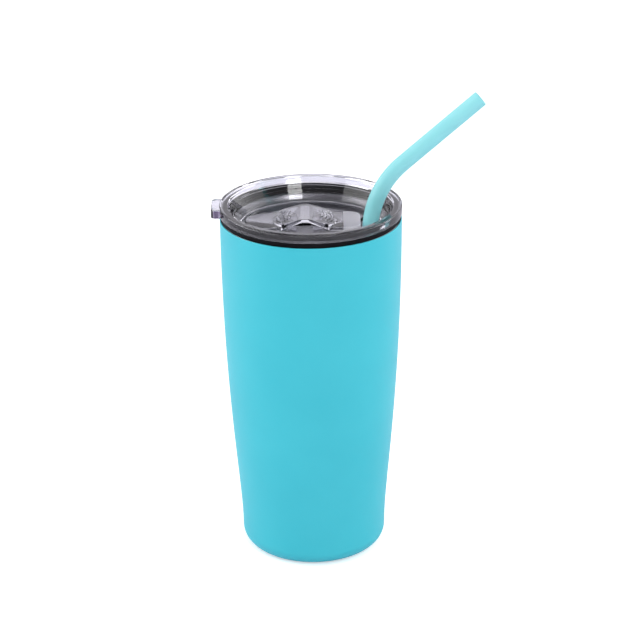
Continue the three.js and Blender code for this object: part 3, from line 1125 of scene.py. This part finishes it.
@dataclass
class Slider:
    """Clear closure that slides in the lid's slot, with a ribbed roof-shaped grip."""

    x: float = -2.8
    nose_tip: float = -31.6
    end: float = 23.7
    width: float = 22.0
    corner: float = 5.0
    bottom: float = 167.8
    top: float = 169.8
    edge: float = 0.45
    cut: float = 1.0
    grip_height: float = 4.0
    grip_radius: float = 15.6
    grip_root: float = 0.3
    grip_inset: float = 0.02
    grip_sides: int = 96
    crest: float = 3.0
    crest_round: float = 1.2
    roof_wall: float = 1.7
    arch_reach: float = 12.5
    arch_round: float = 2.5
    arch_foot_round: float = 0.5
    leg_x: float = 6.0
    leg_root: float = 1.2
    barb_round: float = 0.15
    foot_round: float = 0.2
    leg_length: float = 4.0
    leg_width: float = 4.8
    hook_width: float = 7.8
    hook_height: float = 1.3
    hook_top: float = 165.2
    ridge_count: int = 4
    ridge_first: float = 8.4
    ridge_spacing: float = 1.7
    ridge_radius: float = 0.45
    ridge_sweep: float = 68.0
    ridge_points: int = 24
    ridge_sides: int = 10

    def grip(self) -> bpy.types.Object:
        """Roof across the plate, bounded by a circle round its centre."""
        half_crest, crest_top = self.crest / 2, self.top + self.grip_height
        root = self.top - self.grip_root
        roof = [
            (-self.grip_radius - self.cut, root, 0.0),
            (self.grip_radius + self.cut, root, 0.0),
            (self.grip_radius, self.top, 0.0),
            (half_crest, crest_top, self.crest_round),
            (-half_crest, crest_top, self.crest_round),
            (-self.grip_radius, self.top, 0.0),
        ]
        outline = [(px + self.x * MM, pz) for px, pz in filleted(roof)]
        half = (self.width / 2 - self.grip_inset) * MM
        across = bar("roof", outline, -half, half, "y", CLEAR_SLIDER)
        drum = [
            (0.0, self.bottom + self.cut, 0.0),
            (self.grip_radius, self.bottom + self.cut, 0.0),
            (self.grip_radius, crest_top + self.cut, 0.0),
            (0.0, crest_top + self.cut, 0.0),
        ]
        bound = turned("drum", filleted(drum, closed=False), CLEAR_SLIDER, self.grip_sides)
        bound.data.transform(Matrix.Translation((self.x * MM, 0, 0)))
        combined(across, bound, "INTERSECT")
        return across

    def arch(self) -> bpy.types.Object:
        """The hollow under the roof, open to the front and back."""
        low, half_crest = self.bottom - self.cut, self.crest / 2
        top = self.top + self.grip_height - self.roof_wall
        hollow = [
            (-self.arch_reach, low, 0.0),
            (self.arch_reach, low, 0.0),
            (self.arch_reach, self.bottom, self.arch_foot_round),
            (half_crest, top, self.arch_round),
            (-half_crest, top, self.arch_round),
            (-self.arch_reach, self.bottom, self.arch_foot_round),
        ]
        outline = [(px + self.x * MM, pz) for px, pz in filleted(hollow, steps=6)]
        half = (self.width / 2 + self.cut) * MM
        return bar("arch", outline, -half, half, "y", CLEAR_SLIDER)

    def leg(self, x: float) -> bpy.types.Object:
        """Snap leg with a barb on each side."""
        half, hook = self.leg_width / 2, self.hook_width / 2
        root, foot = self.top + self.leg_root, self.hook_top - self.hook_height
        outline = [
            (half, root, 0.0),
            (-half, root, 0.0),
            (-half, self.hook_top, 0.0),
            (-hook, self.hook_top, self.barb_round),
            (-half, foot, self.foot_round),
            (half, foot, self.foot_round),
            (hook, self.hook_top, self.barb_round),
            (half, self.hook_top, 0.0),
        ]
        start = (x - self.leg_length / 2) * MM
        return bar("leg", filleted(outline), start, start + self.leg_length * MM, "x", CLEAR_SLIDER)

    def ridges(self) -> bpy.types.Object:
        """Curved finger ridges on both slopes of the grip, laid out by a node tree."""
        piece = new_piece("ridges", [(0, 0, 0)], [], [])
        tree = ShapeTree(
            "grip ridges",
            {
                "Count": self.ridge_count,
                "First Radius": self.ridge_first * MM,
                "Spacing": self.ridge_spacing * MM,
                "Ridge Radius": self.ridge_radius * MM,
                "Sweep": math.radians(self.ridge_sweep),
                "Crest": self.crest / 2 * MM,
                "Reach": self.grip_radius * MM,
                "Rise": self.grip_height * MM,
            },
        )
        both_sides = tree.size("Count") * 2
        holders = tree.node("GeometryNodeMeshLine", Count=both_sides, Offset=(0.0, 0.0, 0.0))
        number = tree.index()
        ring = (number / 2.0 + NUDGE).apply("FLOOR")
        side = number % 2.0
        radius = tree.size("First Radius") + ring * tree.size("Spacing")
        sweep = tree.size("Sweep")
        arc = tree.node(
            "GeometryNodeCurveArc",
            Resolution=self.ridge_points,
            Radius=1.0,
            Start_Angle=sweep * -0.5,
            Sweep_Angle=sweep,
        )
        arcs = tree.node(
            "GeometryNodeInstanceOnPoints",
            Points=holders.outputs[0],
            Instance=arc.outputs[0],
            Rotation=tree.join(0.0, 0.0, side * math.pi),
            Scale=tree.join(radius, radius, 1.0),
        )
        real = tree.node("GeometryNodeRealizeInstances", in_0=arcs.outputs[0])
        section = tree.node(
            "GeometryNodeCurvePrimitiveCircle",
            Resolution=self.ridge_sides,
            Radius=tree.size("Ridge Radius"),
        )
        tubes = tree.node(
            "GeometryNodeCurveToMesh",
            Curve=real.outputs[0],
            Profile_Curve=section.outputs[0],
            Fill_Caps=True,
        )
        x, _, _ = tree.split(tree.node("GeometryNodeInputPosition").outputs[0])
        down = (x.apply("ABSOLUTE") - tree.size("Crest")) / (tree.size("Reach") - tree.size("Crest"))
        rise = (1.0 - down) * tree.size("Rise")
        lifted = tree.join(0.0, 0.0, rise)
        laid = tree.node("GeometryNodeSetPosition", Geometry=tubes.outputs[0], Offset=lifted)
        tree.ends_in(laid.outputs[0])
        tree.run(piece, CLEAR_SLIDER.material())
        piece.data.transform(Matrix.Translation((self.x * MM, 0, self.top * MM)))
        faced_outwards(piece)
        return piece

    def build(self) -> None:
        """Makes the slider in one moulding."""
        half = self.width / 2
        plate = RoundPlate(
            self.nose_tip, self.end, self.width, self.corner, self.bottom, self.top, self.edge, nose=half
        )
        slider = plate.build("clear_slider", CLEAR_SLIDER)
        combined(slider, self.grip(), "UNION")
        combined(slider, self.arch(), "DIFFERENCE")
        for addition in (self.leg(self.x - self.leg_x), self.leg(self.x + self.leg_x), self.ridges()):
            combined(slider, addition, "UNION")
        tidied(slider, CLEAR_SLIDER)
        placed(slider, "slider", "clear_plastic", "slider")


@dataclass
class Straw:
    """Silicone straw: a straight leg down into the cup, one bend and a straight mouth leg."""

    x: float = 28.5
    radius: float = 3.9
    bore: float = 2.75
    bottom: float = 12.0
    bend_start: float = 163.84
    bend_radius: float = 43.4
    bend_degrees: float = 50.1
    heading_degrees: float = 5.0
    mouth_leg: float = 47.8
    lip: float = 0.4
    end_band: float = 2.0
    sides: int = 64
    leg_rings: int = 24
    bend_rings: int = 36
    mouth_rings: int = 10

    def straight(self) -> bpy.types.Object:
        """The tube before it is bent, standing on the origin, with rounded lips."""
        leg = self.bend_start - self.bottom
        bend = self.bend_radius * math.radians(self.bend_degrees)
        total = leg + bend + self.mouth_leg
        stations = [
            *spread(self.end_band, leg - self.end_band, self.leg_rings),
            *spread(leg, leg + bend, self.bend_rings),
            *spread(leg + bend + self.end_band, total - self.end_band, self.mouth_rings),
        ]
        outline = [
            (self.bore, 0.0, self.lip),
            (self.radius, 0.0, self.lip),
            *[(self.radius, s, 0.0) for s in stations],
            (self.radius, total, self.lip),
            (self.bore, total, self.lip),
            *[(self.bore, s, 0.0) for s in reversed(stations)],
        ]
        return turned("bent_straw", filleted(outline), TEAL_SILICONE, self.sides)

    def build(self) -> None:
        """Makes the straw and bends it along its path with a node tree."""
        piece = self.straight()
        tree = ShapeTree(
            "straw bend",
            {
                "Leg": (self.bend_start - self.bottom) * MM,
                "Bend Radius": self.bend_radius * MM,
                "Bend Angle": math.radians(self.bend_degrees),
                "Heading": math.radians(self.heading_degrees),
                "Foot": self.bottom * MM,
                "Hole": self.x * MM,
            },
        )
        here = tree.node("GeometryNodeInputPosition").outputs[0]
        side, across, along = tree.split(here)
        leg, bend_radius, angle = tree.size("Leg"), tree.size("Bend Radius"), tree.size("Bend Angle")
        turn = ((along - leg) / bend_radius).apply("MAXIMUM", 0.0).apply("MINIMUM", angle)
        beyond = (along - leg - bend_radius * angle).apply("MAXIMUM", 0.0)
        cosine, sine = turn.apply("COSINE"), turn.apply("SINE")
        out = bend_radius * (1.0 - cosine) + beyond * sine + side * cosine
        up = along.apply("MINIMUM", leg) + bend_radius * sine + beyond * cosine - side * sine
        heading = tree.size("Heading")
        face, slip = heading.apply("COSINE"), heading.apply("SINE")
        place = tree.join(
            tree.size("Hole") + out * face - across * slip,
            out * slip + across * face,
            tree.size("Foot") + up,
        )
        tube = tree.inputs.outputs["Geometry"]
        moved = tree.node("GeometryNodeSetPosition", Geometry=tube, Position=place)
        tree.ends_in(moved.outputs[0])
        tree.run(piece, TEAL_SILICONE.material())
        smoothed(piece)
        placed(piece, "straw", "teal_silicone", "straw")


# ---- studio ---------------------------------------------------------------------------------


@dataclass(frozen=True)
class SoftBox:
    """A rectangular studio lamp aimed at the lid."""

    name: str
    place: tuple[float, float, float]
    width: float
    height: float
    watts: float
    colour: tuple[float, float, float] = (1.0, 1.0, 1.0)
    aim: tuple[float, float, float] = (0.0, 0.0, 0.17)

    def build(self) -> None:
        """Adds the lamp."""
        lamp = bpy.data.lights.new(self.name, "AREA")
        lamp.shape = "RECTANGLE"
        lamp.size = self.width
        lamp.size_y = self.height
        lamp.energy = self.watts
        lamp.color = self.colour
        holder = bpy.data.objects.new(self.name, lamp)
        direction = Vector(self.aim) - Vector(self.place)
        turn = direction.to_track_quat("-Z", "Y").to_matrix().to_4x4()
        holder.matrix_world = Matrix.Translation(self.place) @ turn
        bpy.context.scene.collection.objects.link(holder)


@dataclass
class Studio:
    """Pale floor, soft surroundings, lamps and the camera."""

    camera_place: tuple[float, float, float] = (0.0, -0.9852, 0.52635)
    tilt: float = 0.3933
    pan: float = 0.004
    roll: float = -0.0088
    lens: float = 123.1
    sensor: float = 36.0
    nearest: float = 0.01
    floor_half: float = 4.0
    floor_drop: float = 0.02 * MM
    bounces: int = 24
    clear_bounces: int = 20
    open_bounces: int = 16
    brightest_bounce: float = 6.0
    bright_side: float = 1.0
    dark_side: float = 0.3
    surround_colour: Colour = rgb(0.94, 0.92, 1.0)
    lamps: tuple[SoftBox, ...] = field(
        default_factory=lambda: (
            SoftBox("front_right_box", (0.49, -1.0, 0.72), 0.42, 0.6, 6.0),
            SoftBox("left_box", (-1.35, 0.0, 0.6), 1.7, 1.8, 20.0),
            SoftBox("right_box", (1.27, 0.5, 0.6), 1.7, 1.8, 12.0),
            SoftBox("top_box", (0.0, -0.6, 1.4), 1.2, 0.6, 5.0),
        )
    )

    def camera(self) -> None:
        """Adds the camera, held level apart from a slight roll."""
        forward = Vector((
            math.sin(self.pan) * math.cos(self.tilt),
            math.cos(self.pan) * math.cos(self.tilt),
            -math.sin(self.tilt),
        ))
        level = Vector((math.cos(self.pan), -math.sin(self.pan), 0.0))
        up = level.cross(forward)
        right = level * math.cos(self.roll) + up * math.sin(self.roll)
        up = up * math.cos(self.roll) - level * math.sin(self.roll)
        turn = Matrix((right, up, -forward)).transposed().to_4x4()
        lens = bpy.data.cameras.new("studio_camera")
        lens.lens = self.lens
        lens.sensor_width = self.sensor
        lens.clip_start = self.nearest
        holder = bpy.data.objects.new("studio_camera", lens)
        holder.matrix_world = Matrix.Translation(self.camera_place) @ turn
        bpy.context.scene.collection.objects.link(holder)
        bpy.context.scene.camera = holder

    def floor(self) -> None:
        """Adds the floor, a hair below the foot."""
        half = self.floor_half
        signs = ((-1, -1), (1, -1), (1, 1), (-1, 1))
        corners = [(x * half, y * half, -self.floor_drop) for x, y in signs]
        card = new_piece("pale_floor", corners, [], [(0, 1, 2, 3)])
        card.data.materials.append(PALE_FLOOR.material())

    def surroundings(self) -> None:
        """Pale surroundings, which light the tumbler from behind more than from the front."""
        world = bpy.data.worlds.new("studio")
        world.use_nodes = True
        bpy.context.scene.world = world
        kit = ShaderKit(world.node_tree)
        direction = kit.node("ShaderNodeTexCoord").outputs["Generated"]
        _, y, _ = kit.split(direction)
        shade = self.dark_side + y.above(0.2, 0.35) * (self.bright_side - self.dark_side)
        seen = kit.value(kit.node("ShaderNodeLightPath"), "Is Camera Ray")
        shade = kit.math("MAXIMUM", shade, seen * self.bright_side)
        backdrop = world.node_tree.nodes["Background"]
        kit.sets(backdrop, Strength=shade, Color=self.surround_colour)

    def build(self) -> None:
        """Sets the whole studio."""
        scene = bpy.context.scene
        scene.view_settings.view_transform = "Standard"
        scene.cycles.use_denoising = True
        scene.cycles.max_bounces = self.bounces
        scene.cycles.transmission_bounces = self.clear_bounces
        scene.cycles.transparent_max_bounces = self.open_bounces
        scene.cycles.sample_clamp_indirect = self.brightest_bounce
        self.camera()
        self.floor()
        self.surroundings()
        for lamp in self.lamps:
            lamp.build()
        log.info("studio with %d lamps", len(self.lamps))


def main() -> None:
    """Builds the tumbler and its studio."""
    logging.basicConfig(level=logging.INFO, format="%(name)s: %(message)s")
    Studio().build()
    for assembly in (Cup(), Seal(), Lid(), Slider(), Straw()):
        assembly.build()


if __name__ == "__main__":
    main()
